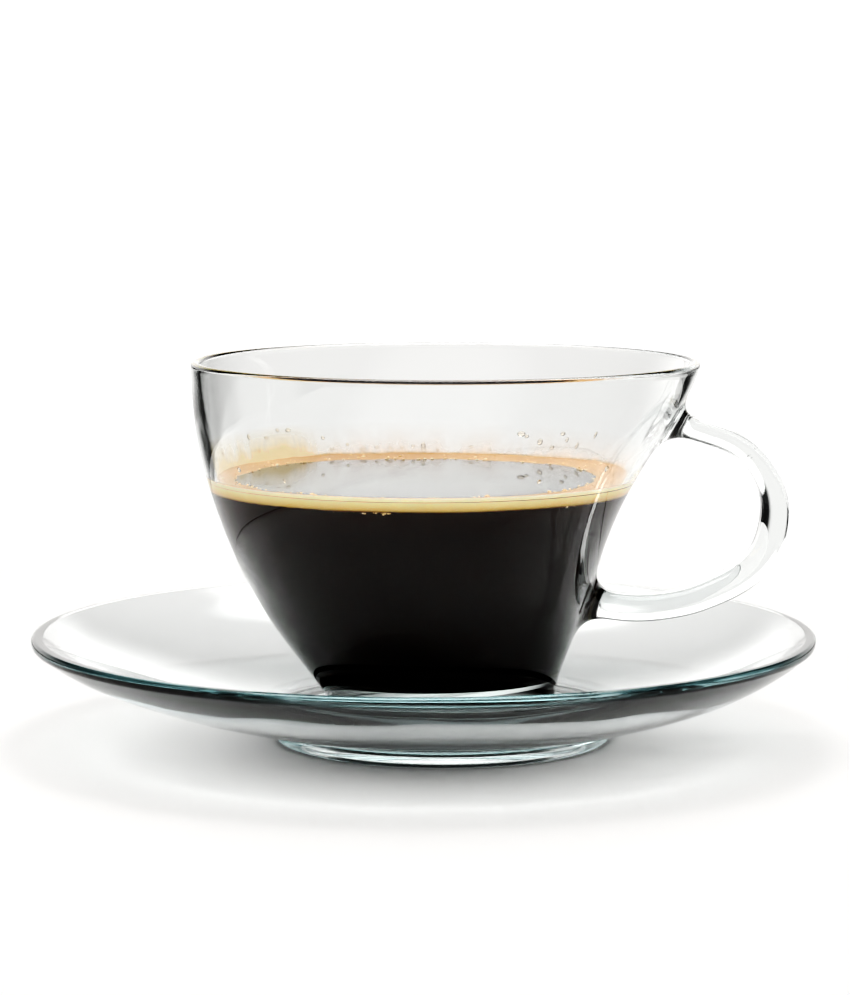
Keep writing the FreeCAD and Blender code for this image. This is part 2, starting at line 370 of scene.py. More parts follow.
    # even out the mesh along the surface, keeping it on the skin
    edge = np.concatenate([quads[:, [0, 1]], quads[:, [1, 2]], quads[:, [2, 3]], quads[:, [3, 0]]])
    edge = np.unique(np.sort(edge, 1), axis=0)
    for _ in range(6):
        acc, num = np.zeros_like(verts), np.zeros(len(verts))
        for a, b in ((0, 1), (1, 0)):
            np.add.at(acc, edge[:, a], verts[edge[:, b]])
            np.add.at(num, edge[:, a], 1)
        mean = acc[free] / np.maximum(num[free], 1)[:, None]
        verts[free] += 0.5 * (mean - verts[free])
        verts = settle(verts, free, 1)
    verts = settle(verts, free, 3)
    return verts, list(faces.values()) + quads.tolist()


def inner_rows(z_top, count, grow=0.0):
    """Rows down the inner wall, round the corner and in to the middle of the floor."""
    turn = 4.6
    zf = FLOOR + 0.5 - grow
    out = []
    zt = FLOOR + turn
    for z in np.linspace(z_top, zt, count):
        out.append((in_r(z) + grow, z, in_c(z)))
    # corner: an arc from the wall's slope to the floor
    r_t = float(in_r(zt)) + grow
    slope = float((in_r(zt + 0.1) - in_r(zt - 0.1)) / 0.2)
    corner_r = r_t - slope * (zt - zf)
    pts = rounded([(r_t, zt), (corner_r, zf), (0.0, zf)], [0, 6.2, 0], 14)
    c0, c1 = float(in_c(zt)), float(in_c(FLOOR))
    arc = pts[1:-1]
    for r, z in arc:
        out.append((r, z, c0 + (c1 - c0) * min(1, (zt - z) / (zt - zf))))
    r_in = arc[-1][0]
    for r in np.linspace(r_in, 0, 16)[1:]:
        out.append((max(r, 0.0), zf, c1))
    return out


# ---------------------------------------------------------------- the saucer's glass
UNDER = np.array([
    (3.3, 3.6, 33.2), (4.7, 3.3, 40.5), (6.4, 2.9, 47.3), (8.6, 2.3, 54.6), (11.0, 1.7, 61.2),
    (13.8, 0.8, 67.0), (16.4, 0.3, 71.6), (19.2, 0.0, 75.2)])
WELL = np.array([
    (6.6, 3.6, 29.0), (7.5, 3.4, 34.8), (9.7, 2.9, 46.4), (12.0, 2.3, 54.2), (14.4, 1.7, 60.6),
    (17.0, 0.8, 66.2), (19.4, 0.3, 70.6), (20.3, 0.1, 72.6)])


def saucer_mesh():
    theta = np.linspace(0, 2 * math.pi, 361)[:-1]
    shift = spline([0, 33.2, 40.5, 47.3, 54.6, 61.2, 67.0, 71.6, 75.5], [3.6, 3.6, 3.3, 2.9, 2.3, 1.7, 0.8, 0.3, 0.0])
    under = fair(UNDER[:, 2], UNDER[:, 0], 5)
    well = fair(WELL[:, 2], WELL[:, 0], 5)
    pts, rad = [], []

    def add(r, z, q=0.0):
        pts.append((float(r), float(z)))
        rad.append(q)

    add(0.0, 3.0)
    add(27.6, 3.0, 1.2)
    add(27.9, 0.0, 1.0)
    add(32.6, 0.0, 1.6)
    add(33.3, float(under(33.3)), 1.0)
    for r in np.linspace(36.0, 74.2, 60):
        add(r, under(r))
    # the lip: a soft vertical edge
    z_edge = float(under(75.2))
    add(75.45, z_edge + 0.1, 1.1)
    add(75.5, 20.9, 1.15)
    add(73.5, 20.85, 0.9)
    for r in np.linspace(72.3, 35.0, 60):
        add(r, well(r))
    add(31.0, 6.6, 9.0)
    add(0.0, 6.6)
    line = rounded(pts, rad, 8)
    # even spacing, so that the mesh is regular
    line = np.array(line)
    keep = [0]
    for i in range(1, len(line)):
        if np.linalg.norm(line[i] - line[keep[-1]]) > 0.08 or i == len(line) - 1:
            keep.append(i)
    line = line[keep]
    dense = []
    for a, b in zip(line[:-1], line[1:]):
        n = max(1, int(math.ceil(np.linalg.norm(b - a) / 1.6)))
        for k in range(n):
            dense.append(a + (b - a) * k / n)
    dense.append(line[-1])
    rows = [(float(r), float(z), float(shift(r))) for r, z in dense]
    rows[0] = (0.0, rows[0][1], rows[0][2])
    rows[-1] = (0.0, rows[-1][1], rows[-1][2])
    verts, faces, _ = ring_rows(rows, theta)
    return verts, list(faces.values())


# ---------------------------------------------------------------- the drink
def drink_mesh():
    theta = np.linspace(0, 2 * math.pi, 241)[:-1]
    grow = 0.16
    level = LEVEL
    rows = []
    r_wall = float(in_r(level)) + grow
    c = float(in_c(level))
    for d in [0.0, 0.15, 0.3, 0.5, 0.8, 1.2, 1.7, 2.4, 3.4, 5.0] + list(np.linspace(7.0, r_wall, 22)):
        r = max(r_wall - d, 0.0)
        rows.append((r, level - 0.12 - 0.35 * math.exp(-(d / 3.0) ** 2), c))
    rows = rows[::-1]
    rows[0] = (0.0, rows[0][1], c)
    rows += inner_rows(level - 0.6, 60, grow)
    verts, faces, _ = ring_rows(rows, theta)
    top = set()
    n_top = 32
    out = []
    mats = []
    for (k, i), f in faces.items():
        out.append(f)
        mats.append(0 if k < n_top - 2 else 1)
    return verts, out, mats


def noise_ring(theta, seed, octaves):
    """Smooth periodic noise round the ring, from named wave numbers."""
    r = np.random.default_rng(seed)
    out = np.zeros_like(theta)
    for waves, size in octaves:
        for _ in range(2):
            out += size * np.sin(waves * theta + r.uniform(0, 2 * math.pi)) * r.uniform(0.5, 1)
            waves += 1
    return out


def crema_mesh():
    """Foam ring: its outer band stands just inside the wall, its inner edge wanders."""
    n = 720
    theta = np.linspace(0, 2 * math.pi, n + 1)[:-1]
    grow = 0.26
    bottom = LEVEL - 2.45 + noise_ring(theta, 3, ((3, 0.05), (11, 0.035), (29, 0.03), (67, 0.03)))
    # width of the foam on the surface: narrow in front, wide behind
    back = 0.5 + 0.5 * np.sin(theta)
    width = 3.6 + 5.4 * back**1.2 + 1.2 * np.cos(theta) + noise_ring(theta, 5, ((2, 0.35), (5, 0.32), (9, 0.28), (17, 0.2), (37, 0.12), (83, 0.07)))
    verts, rings = [], []

    def ring(depth, z):
        rings.append(np.arange(n) + len(verts))
        z = np.broadcast_to(z, (n,))
        depth = np.broadcast_to(depth, (n,))
        r = in_r(z) + grow - depth
        c = in_c(z)
        verts.extend(zip(c + r * np.cos(theta), r * np.sin(theta), z))

    for t in np.linspace(0, 1, 9):                        # up the wall
        ring(0.0, bottom + (LEVEL + 0.42 - bottom) * t)
    for t in np.linspace(0, 1, 22)[1:]:                   # over the top, in to the edge
        d = width * t
        edge = np.clip((1 - t) / 0.5, 0, 1)
        h = 0.10 + 0.34 * np.exp(-d / 0.75) + 0.05 * np.sin(9 * theta + 4 * d)
        ring(d, LEVEL - 0.12 + h * np.sqrt(edge) - 0.04 * (1 - edge))
    for t, z in ((0.8, -0.9), (0.3, -2.0)):               # back under the surface
        ring(width * t, LEVEL + z + 0 * theta)
    faces = []
    m = len(rings)
    for k in range(m):
        a, b = rings[k], rings[(k + 1) % m]
        for i in range(n):
            j = (i + 1) % n
            faces.append((a[i], a[j], b[j], b[i]))
    return np.array(verts), faces, theta, width, bottom


def ball(centre, normal, size, rings=6, sides=12, start=0, flat=0.6):
    """A flattened ball on a surface: centre, outward normal of the surface, (radius along a, along b)."""
    nrm = np.array(normal, float)
    nrm /= np.linalg.norm(nrm)
    a = np.cross(nrm, (0, 0, 1.0))
    if np.linalg.norm(a) < 1e-3:
        a = np.array((1.0, 0, 0))
    a /= np.linalg.norm(a)
    b = np.cross(nrm, a)
    if b[2] < 0:
        b = -b
    ra, rb = size
    rc = flat * min(ra, rb)
    verts = [centre + nrm * rc]
    for k in range(1, rings):
        p = math.pi * k / rings
        for s in range(sides):
            q = 2 * math.pi * s / sides
            verts.append(centre + nrm * rc * math.cos(p) + a * ra * math.sin(p) * math.cos(q) + b * rb * math.sin(p) * math.sin(q))
    verts.append(centre - nrm * rc)
    faces = []
    last = len(verts) - 1
    for s in range(sides):
        t = (s + 1) % sides
        faces.append((start, start + 1 + s, start + 1 + t))
        for k in range(rings - 2):
            u, w = start + 1 + k * sides, start + 1 + (k + 1) * sides
            faces.append((u + s, w + s, w + t, u + t))
        u = start + 1 + (rings - 2) * sides
        faces.append((u + s, start + last, u + t))
    return verts, faces


# ---------------------------------------------------------------- materials
def new_material(name):
    m = bpy.data.materials.new(name)
    m.use_nodes = True
    m.node_tree.nodes.clear()
    return m, m.node_tree.nodes, m.node_tree.links


def set_plain(node, **values):
    for key, value in values.items():
        node.inputs[key.replace("_", " ")].default_value = value


def mix_color(nodes, links, fac, a, b):
    mix = nodes.new("ShaderNodeMix")
    mix.data_type = "RGBA"
    links.new(fac, mix.inputs[0])
    for k, value in ((6, a), (7, b)):
        if isinstance(value, (tuple, list)):
            mix.inputs[k].default_value = (*value, 1.0)
        else:
            links.new(value, mix.inputs[k])
    return mix.outputs[2]


def ramp(nodes, links, fac, stops, interpolation="LINEAR"):
    r = nodes.new("ShaderNodeValToRGB")
    r.color_ramp.interpolation = interpolation
    while len(r.color_ramp.elements) < len(stops):
        r.color_ramp.elements.new(0.5)
    for e, (pos, col) in zip(r.color_ramp.elements, stops):
        e.position = pos
        e.color = (*col, 1.0) if len(col) == 3 else col
    links.new(fac, r.inputs[0])
    return r


def glass_material(name, tint_a, tint_b, density, absorb, wave_scale, wave):
    """Clear pressed glass: slight colour variation, faint pressing waves, and a body
    colour that shows only along long paths."""
    m, nodes, links = new_material(name)
    out = nodes.new("ShaderNodeOutputMaterial")
    b = nodes.new("ShaderNodeBsdfPrincipled")
    set_plain(b, IOR=1.5, Roughness=0.0, Transmission_Weight=1.0, Metallic=0.0)
    co = nodes.new("ShaderNodeTexCoord")
    n = nodes.new("ShaderNodeTexNoise")
    n.inputs["Scale"].default_value = wave_scale
    n.inputs["Detail"].default_value = 1.0
    n.inputs["Distortion"].default_value = 1.2
    links.new(co.outputs["Object"], n.inputs["Vector"])
    links.new(mix_color(nodes, links, n.outputs["Fac"], tint_a, tint_b), b.inputs["Base Color"])
    bump = nodes.new("ShaderNodeBump")
    bump.inputs["Strength"].default_value = wave
    bump.inputs["Distance"].default_value = 0.001
    links.new(n.outputs["Fac"], bump.inputs["Height"])
    links.new(bump.outputs["Normal"], b.inputs["Normal"])
    links.new(b.outputs["BSDF"], out.inputs["Surface"])
    v = nodes.new("ShaderNodeVolumeAbsorption")
    v.inputs["Color"].default_value = (*absorb, 1.0)
    v.inputs["Density"].default_value = density
    links.new(v.outputs["Volume"], out.inputs["Volume"])
    return m


def coffee_top_material():
    m, nodes, links = new_material("coffee_surface")
    out = nodes.new("ShaderNodeOutputMaterial")
    b = nodes.new("ShaderNodeBsdfPrincipled")
    set_plain(b, IOR=1.33, Roughness=0.015)
    co = nodes.new("ShaderNodeTexCoord")
    n = nodes.new("ShaderNodeTexNoise")
    n.inputs["Scale"].default_value = 60.0
    n.inputs["Detail"].default_value = 3.0
    links.new(co.outputs["Object"], n.inputs["Vector"])
    r = ramp(nodes, links, n.outputs["Fac"], ((0.3, (0.006, 0.0022, 0.0011)), (0.7, (0.012, 0.0045, 0.002))))
    links.new(r.outputs["Color"], b.inputs["Base Color"])
    links.new(b.outputs["BSDF"], out.inputs["Surface"])
    return m


def coffee_side_material():
    """The drink seen through the wall: nearly black and a little lighter towards the top, with painted light in the
    thin rounded edge at the floor, warmer and lighter there as if light shone through the thin drink."""
    m, nodes, links = new_material("coffee_body")
    out = nodes.new("ShaderNodeOutputMaterial")
    b = nodes.new("ShaderNodeBsdfPrincipled")
    set_plain(b, IOR=1.33, Roughness=0.35, Specular_IOR_Level=0.0)
    co = nodes.new("ShaderNodeTexCoord")
    sep = nodes.new("ShaderNodeSeparateXYZ")
    links.new(co.outputs["Object"], sep.inputs[0])
    n = nodes.new("ShaderNodeTexNoise")
    n.inputs["Scale"].default_value = 90.0
    n.inputs["Detail"].default_value = 4.0
    links.new(co.outputs["Object"], n.inputs["Vector"])
    mr = nodes.new("ShaderNodeMapRange")
    mr.inputs["From Min"].default_value = FLOOR * MM
    mr.inputs["From Max"].default_value = LEVEL * MM
    links.new(sep.outputs["Z"], mr.inputs["Value"])
    # painted light: the lowest stops are warmer and lighter, standing in for light through the thin drink at the
    # floor's edge
    r = ramp(nodes, links, mr.outputs["Result"], (
        (0.0, (0.075, 0.030, 0.014)), (0.02, (0.045, 0.016, 0.007)), (0.06, (0.012, 0.0042, 0.002)),
        (0.5, (0.013, 0.0042, 0.0018)), (0.80, (0.017, 0.0052, 0.0021)), (0.94, (0.034, 0.0105, 0.0036))))
    dark = mix_color(nodes, links, n.outputs["Fac"], (0.006, 0.0019, 0.0009), (0.018, 0.0056, 0.0026))
    add = nodes.new("ShaderNodeMix")
    add.data_type = "RGBA"
    add.inputs[0].default_value = 0.35
    links.new(r.outputs["Color"], add.inputs[6])
    links.new(dark, add.inputs[7])
    links.new(add.outputs[2], b.inputs["Base Color"])
    links.new(b.outputs["BSDF"], out.inputs["Surface"])
    return m


def coffee_base_material():
    """The underside of the drink on the thick glass floor, where the glass turns mirror-like
    at a low angle."""
    m, nodes, links = new_material("coffee_base")
    out = nodes.new("ShaderNodeOutputMaterial")
    b = nodes.new("ShaderNodeBsdfPrincipled")
    set_plain(b, IOR=1.5, Roughness=0.03, Specular_IOR_Level=0.8)
    co = nodes.new("ShaderNodeTexCoord")
    n = nodes.new("ShaderNodeTexNoise")
    n.inputs["Scale"].default_value = 80.0
    links.new(co.outputs["Object"], n.inputs["Vector"])
    r = ramp(nodes, links, n.outputs["Fac"], ((0.3, (0.020, 0.007, 0.003)), (0.7, (0.032, 0.012, 0.005))))
    links.new(r.outputs["Color"], b.inputs["Base Color"])
    links.new(b.outputs["BSDF"], out.inputs["Surface"])
    return m


def crema_material():
    m, nodes, links = new_material("crema_foam")
    out = nodes.new("ShaderNodeOutputMaterial")
    b = nodes.new("ShaderNodeBsdfPrincipled")
    set_plain(b, IOR=1.33, Roughness=0.42, Specular_IOR_Level=0.3, Subsurface_Weight=0.9, Subsurface_Scale=0.0022)
    b.inputs["Subsurface Radius"].default_value = (1.0, 0.8, 0.5)
    co = nodes.new("ShaderNodeTexCoord")
    sep = nodes.new("ShaderNodeSeparateXYZ")
    links.new(co.outputs["Object"], sep.inputs[0])
    fine = nodes.new("ShaderNodeTexNoise")
    fine.inputs["Scale"].default_value = 420.0
    fine.inputs["Detail"].default_value = 5.0
    links.new(co.outputs["Object"], fine.inputs["Vector"])
    broad = nodes.new("ShaderNodeTexNoise")
    broad.inputs["Scale"].default_value = 70.0
    broad.inputs["Detail"].default_value = 3.0
    links.new(co.outputs["Object"], broad.inputs["Vector"])
    # height in the band, with an uneven edge
    mr = nodes.new("ShaderNodeMapRange")
    mr.inputs["From Min"].default_value = (LEVEL - 2.5) * MM
    mr.inputs["From Max"].default_value = (LEVEL + 0.1) * MM
    links.new(sep.outputs["Z"], mr.inputs["Value"])
    wob = nodes.new("ShaderNodeMath")
    wob.operation = "MULTIPLY_ADD"
    links.new(broad.outputs["Fac"], wob.inputs[0])
    wob.inputs[1].default_value = 0.16
    links.new(mr.outputs["Result"], wob.inputs[2])
    off = nodes.new("ShaderNodeMath")
    off.operation = "SUBTRACT"
    links.new(wob.outputs[0], off.inputs[0])
    off.inputs[1].default_value = 0.08
    r = ramp(nodes, links, off.outputs[0], (
        (0.0, (0.12, 0.045, 0.012)), (0.07, (0.42, 0.24, 0.075)), (0.16, (0.78, 0.56, 0.22)),
        (0.36, (0.95, 0.74, 0.35)), (0.56, (0.98, 0.82, 0.46)), (0.76, (0.98, 0.86, 0.58)), (1.0, (0.95, 0.84, 0.64))))
    spots = mix_color(nodes, links, fine.outputs["Fac"], (0.88, 0.85, 0.80), (1.0, 1.0, 1.0))
    mul = nodes.new("ShaderNodeMix")
    mul.data_type = "RGBA"
    mul.blend_type = "MULTIPLY"
    mul.inputs[0].default_value = 0.8
    links.new(r.outputs["Color"], mul.inputs[6])
    links.new(spots, mul.inputs[7])
    # the surface seen from above is a deeper tan
    geo = nodes.new("ShaderNodeNewGeometry")
    sn = nodes.new("ShaderNodeSeparateXYZ")
    links.new(geo.outputs["Normal"], sn.inputs[0])
    up = nodes.new("ShaderNodeMapRange")
    up.inputs["From Min"].default_value = 0.45
    up.inputs["From Max"].default_value = 0.85
    links.new(sn.outputs["Z"], up.inputs["Value"])
    tan = mix_color(nodes, links, broad.outputs["Fac"], (0.46, 0.24, 0.10), (0.66, 0.42, 0.20))
    final = mix_color(nodes, links, up.outputs["Result"], mul.outputs[2], tan)
    links.new(final, b.inputs["Base Color"])
    # painted glow: the foam's colour is also fed to its emission, so the foam shines by itself
    links.new(final, b.inputs["Emission Color"])
    b.inputs["Emission Strength"].default_value = 0.27       # painted glow: the foam emits its own colour to lighten its weakly lit front
    cells = nodes.new("ShaderNodeTexVoronoi")
    cells.inputs["Scale"].default_value = 1500.0
    links.new(co.outputs["Object"], cells.inputs["Vector"])
    bump = nodes.new("ShaderNodeBump")
    bump.inputs["Strength"].default_value = 0.35
    bump.inputs["Distance"].default_value = 0.0002
    bump.invert = True
    links.new(cells.outputs["Distance"], bump.inputs["Height"])
    links.new(bump.outputs["Normal"], b.inputs["Normal"])
    links.new(b.outputs["BSDF"], out.inputs["Surface"])
    return m


def film_material():
    """Thin dried coffee on the wall: see-through, streaked, denser near the drink."""
    m, nodes, links = new_material("coffee_film")
    out = nodes.new("ShaderNodeOutputMaterial")
    b = nodes.new("ShaderNodeBsdfPrincipled")
    set_plain(b, IOR=1.33, Roughness=0.25, Specular_IOR_Level=0.3)
    co = nodes.new("ShaderNodeTexCoord")
    sep = nodes.new("ShaderNodeSeparateXYZ")
    links.new(co.outputs["Object"], sep.inputs[0])
    mp = nodes.new("ShaderNodeMapping")
    mp.inputs["Scale"].default_value = (1.0, 1.0, 0.28)
    links.new(co.outputs["Object"], mp.inputs["Vector"])
    n = nodes.new("ShaderNodeTexNoise")
    n.inputs["Scale"].default_value = 130.0
    n.inputs["Detail"].default_value = 5.0
    n.inputs["Roughness"].default_value = 0.6
    links.new(mp.outputs[0], n.inputs["Vector"])
    tone = mix_color(nodes, links, n.outputs["Fac"], (0.84, 0.62, 0.43), (0.95, 0.82, 0.68))
    far = nodes.new("ShaderNodeMapRange")
    far.interpolation_type = "SMOOTHSTEP"
    far.inputs["From Min"].default_value = -0.012
    far.inputs["From Max"].default_value = -0.030
    links.new(sep.outputs["X"], far.inputs["Value"])
    tone = mix_color(nodes, links, far.outputs["Result"], tone, (0.93, 0.80, 0.48))
    links.new(tone, b.inputs["Base Color"])
    # painted glow: the film's colour is also fed to its emission, so the film shines by itself
    links.new(tone, b.inputs["Emission Color"])
    b.inputs["Emission Strength"].default_value = 0.3        # painted glow: the film emits its own colour to lighten its weakly lit front
    mr = nodes.new("ShaderNodeMapRange")
    mr.inputs["From Min"].default_value = (LEVEL + 0.3) * MM
    mr.inputs["From Max"].default_value = (LEVEL + 6.5) * MM
    links.new(sep.outputs["Z"], mr.inputs["Value"])
    fade = ramp(nodes, links, mr.outputs["Result"], (
        (0.0, (0.75, 0.75, 0.75)), (0.14, (0.42, 0.42, 0.42)), (0.45, (0.2, 0.2, 0.2)), (0.75, (0.08, 0.08, 0.08)), (1.0, (0.0, 0.0, 0.0))))
    streak = ramp(nodes, links, n.outputs["Fac"], ((0.36, (0.25, 0.25, 0.25)), (0.62, (1.0, 1.0, 1.0))))
    mul = nodes.new("ShaderNodeMath")
    mul.operation = "MULTIPLY"
    links.new(fade.outputs["Color"], mul.inputs[0])
    links.new(streak.outputs["Color"], mul.inputs[1])
    # most of it lies away from the side it was last drunk from
    rear = nodes.new("ShaderNodeMapRange")
    rear.interpolation_type = "SMOOTHSTEP"
    rear.inputs["From Min"].default_value = -0.022
    rear.inputs["From Max"].default_value = 0.012
    rear.inputs["To Min"].default_value = 0.12
    links.new(sep.outputs["Y"], rear.inputs["Value"])
    more = nodes.new("ShaderNodeMath")
    more.operation = "MULTIPLY"
    links.new(mul.outputs[0], more.inputs[0])
    links.new(rear.outputs["Result"], more.inputs[1])
    # and a bank of foam has dried on the left
    thick = nodes.new("ShaderNodeMath")
    thick.operation = "MULTIPLY_ADD"
    links.new(far.outputs["Result"], thick.inputs[0])
    thick.inputs[1].default_value = 2.4
    thick.inputs[2].default_value = 1.3
    bank = nodes.new("ShaderNodeMath")
    bank.operation = "MULTIPLY"
    bank.use_clamp = True
    links.new(more.outputs[0], bank.inputs[0])
    links.new(thick.outputs[0], bank.inputs[1])
    links.new(bank.outputs[0], b.inputs["Alpha"])
    links.new(b.outputs["BSDF"], out.inputs["Surface"])
    return m


def drop_material():
    m, nodes, links = new_material("coffee_drops")
    out = nodes.new("ShaderNodeOutputMaterial")
    b = nodes.new("ShaderNodeBsdfPrincipled")
    set_plain(b, IOR=1.33, Roughness=0.02, Transmission_Weight=1.0)
    co = nodes.new("ShaderNodeTexCoord")
    n = nodes.new("ShaderNodeTexNoise")
    n.inputs["Scale"].default_value = 150.0
    links.new(co.outputs["Object"], n.inputs["Vector"])
    links.new(mix_color(nodes, links, n.outputs["Fac"], (0.98, 0.95, 0.90), (0.90, 0.80, 0.66)), b.inputs["Base Color"])
    links.new(b.outputs["BSDF"], out.inputs["Surface"])
    return m


def bubble_material():
    m, nodes, links = new_material("crema_bubbles")
    out = nodes.new("ShaderNodeOutputMaterial")
    b = nodes.new("ShaderNodeBsdfPrincipled")
    # painted glow: the bubbles emit their own colour so that their shaded sides stay light
    set_plain(b, IOR=1.33, Roughness=0.12, Specular_IOR_Level=0.5, Emission_Strength=0.42)
    co = nodes.new("ShaderNodeTexCoord")
    n = nodes.new("ShaderNodeTexNoise")
    n.inputs["Scale"].default_value = 500.0
    links.new(co.outputs["Object"], n.inputs["Vector"])
    r = ramp(nodes, links, n.outputs["Fac"], ((0.3, (0.60, 0.38, 0.17)), (0.5, (0.80, 0.60, 0.34)), (0.7, (0.92, 0.82, 0.62))))
    links.new(r.outputs["Color"], b.inputs["Emission Color"])
    links.new(r.outputs["Color"], b.inputs["Base Color"])
    links.new(b.outputs["BSDF"], out.inputs["Surface"])
    return m


def floor_material():
    m, nodes, links = new_material("pale_floor")
    out = nodes.new("ShaderNodeOutputMaterial")
    b = nodes.new("ShaderNodeBsdfPrincipled")
    set_plain(b, Roughness=0.9, Specular_IOR_Level=0.0)
    co = nodes.new("ShaderNodeTexCoord")
    n = nodes.new("ShaderNodeTexNoise")
    n.inputs["Scale"].default_value = 3.0
    links.new(co.outputs["Object"], n.inputs["Vector"])
    links.new(mix_color(nodes, links, n.outputs["Fac"], (0.925, 0.925, 0.925), (0.935, 0.935, 0.935)), b.inputs["Base Color"])
    links.new(b.outputs["BSDF"], out.inputs["Surface"])
    return m


# ---------------------------------------------------------------- pieces
glass_cup_mat = glass_material("cup_glass", (0.985, 0.992, 0.99), (0.995, 0.998, 0.997), 20.0, (0.80, 0.885, 0.88), 55.0, 0.04)
glass_saucer_mat = glass_material("saucer_glass", (0.98, 0.988, 0.988), (0.992, 0.996, 0.996), 26.0, (0.74, 0.86, 0.87), 17.0, 0.16)

verts, faces = cup_mesh()
cup = make_object("cup_glass_body", verts, faces, glass_cup_mat)
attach(cup, "root")
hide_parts("glass_cup")

verts, faces = saucer_mesh()
saucer = make_object("saucer_glass_body", verts, faces, glass_saucer_mat)
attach(saucer, "root")
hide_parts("saucer")

verts, faces, mats = drink_mesh()
drink = make_object("coffee_drink", verts, faces, [coffee_top_material(), coffee_side_material(), coffee_base_material()])
for poly in drink.data.polygons:
    centre = poly.center.z / MM
    top = poly.normal.z > 0.3 and centre > LEVEL - 0.6
    poly.material_index = 0 if top else 2 if poly.normal.z < -0.75 else 1
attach(drink, "root")
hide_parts("coffee")

verts, faces, ring_theta, ring_width, ring_bottom = crema_mesh()
crema = make_object("crema_foam_ring", verts, faces, crema_material())
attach(crema, "root")
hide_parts("crema_ring")

# bubbles: along the foam's inner edge, scattered over it, and a few under its band at the wall
bv, bf = [], []


def at_ring(angle, depth, z):
    r = float(in_r(z)) - depth
    return np.array((float(in_c(LEVEL)) + r * math.cos(angle), r * math.sin(angle), z))


for _ in range(230):
    a = rng.uniform(0, 2 * math.pi)
    w = float(np.interp(a, ring_theta, ring_width, period=2 * math.pi))
    d = w * (1 - abs(rng.normal(0, 0.09))) if rng.random() < 0.5 else rng.uniform(0.4, w)
    s = float(np.clip(rng.lognormal(-1.6, 0.45), 0.10, 0.5))
    v, f = ball(at_ring(a, d, LEVEL + 0.02), (0, 0, 1), (s, s), 5, 10, len(bv), 0.55)
    bv += v
    bf += f
for _ in range(70):
    a = math.radians(rng.uniform(205, 262)) if rng.random() < 0.65 else rng.uniform(0, 2 * math.pi)
    z = float(np.interp(a, ring_theta, ring_bottom, period=2 * math.pi)) - abs(rng.normal(0, 0.12))
    s = float(rng.uniform(0.10, 0.26))
    v, f = ball(at_ring(a, -0.20, z), (math.cos(a), math.sin(a), 0), (s, s), 5, 10, len(bv), 0.35)
    bv += v
    bf += f
bubbles = make_object("crema_bubbles", bv, bf, bubble_material())
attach(bubbles, "root")

# film of coffee left on the inner wall above the drink
n = 300
th = np.linspace(0, 2 * math.pi, n + 1)[:-1]
fv, ff = [], []
heights = np.linspace(LEVEL + 0.15, LEVEL + 6.8, 14)
for z in heights:
    r = float(in_r(z)) - 0.05
    fv.extend(zip(float(in_c(z)) + r * np.cos(th), r * np.sin(th), np.full(n, z)))
for k in range(len(heights) - 1):
    for i in range(n):
        j = (i + 1) % n
        ff.append((k * n + i, k * n + j, (k + 1) * n + j, (k + 1) * n + i))
film = make_object("coffee_film", fv, ff, film_material())
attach(film, "root")

# drops on the wall: (azimuth in degrees, height above the drink, half width, half height)
dv, df = [], []
DROPS = [
    (108, 1.0, 0.55, 0.42), (104, 1.3, 0.35, 0.3), (100, 1.2, 0.42, 0.34), (96.5, 1.3, 0.35, 0.3), (93, 1.4, 0.3, 0.45),
    (90.0, 1.3, 0.38, 1.0), (86, 0.9, 0.3, 0.3), (62, 4.6, 0.75, 0.5), (60, 4.2, 0.4, 0.35), (55, 3.2, 0.5, 0.6),
    (50, 2.2, 0.45, 0.5), (48.5, 5.2, 0.5, 0.4), (46, 4.0, 0.35, 0.5), (41, 3.0, 0.4, 0.6), (133, 5.4, 0.6, 0.35),
    (137, 5.6, 0.4, 0.3), (142, 4.3, 0.5, 0.3), (146, 2.2, 0.45, 0.35), (121, 3.6, 0.35, 0.35), (150, 5.0, 0.4, 0.5),
    (113, 2.0, 0.3, 0.3), (118, 1.2, 0.4, 0.3), (76, 1.6, 0.35, 0.3), (70, 1.1, 0.3, 0.28), (36, 5.5, 0.35, 0.7),
    (215, 3.8, 0.4, 0.4), (232, 2.6, 0.3, 0.4), (300, 3.0, 0.35, 0.4), (322, 4.4, 0.4, 0.5), (170, 3.4, 0.35, 0.5)]
for deg, up, ra, rb in DROPS:
    a, z = math.radians(deg), LEVEL + up
    r = float(in_r(z)) - 0.02
    v, f = ball(np.array((float(in_c(z)) + r * math.cos(a), r * math.sin(a), z)), (-math.cos(a), -math.sin(a), 0.45), (1.25 * ra, 1.25 * rb), 7, 16, len(dv), 0.42)
    dv += v
    df += f
drops = make_object("coffee_drops", dv, df, drop_material())
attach(drops, "root")

# ---------------------------------------------------------------- floor, light, camera
mesh = bpy.data.meshes.new("floor")
disc = [(0.26 * math.cos(t), 0.26 * math.sin(t), GROUND * MM) for t in np.linspace(0, 2 * math.pi, 129)[:-1]]
mesh.from_pydata(disc, [], [tuple(range(128))])
mesh.materials.append(floor_material())
floor = bpy.data.objects.new("floor", mesh)
bpy.context.scene.collection.objects.link(floor)


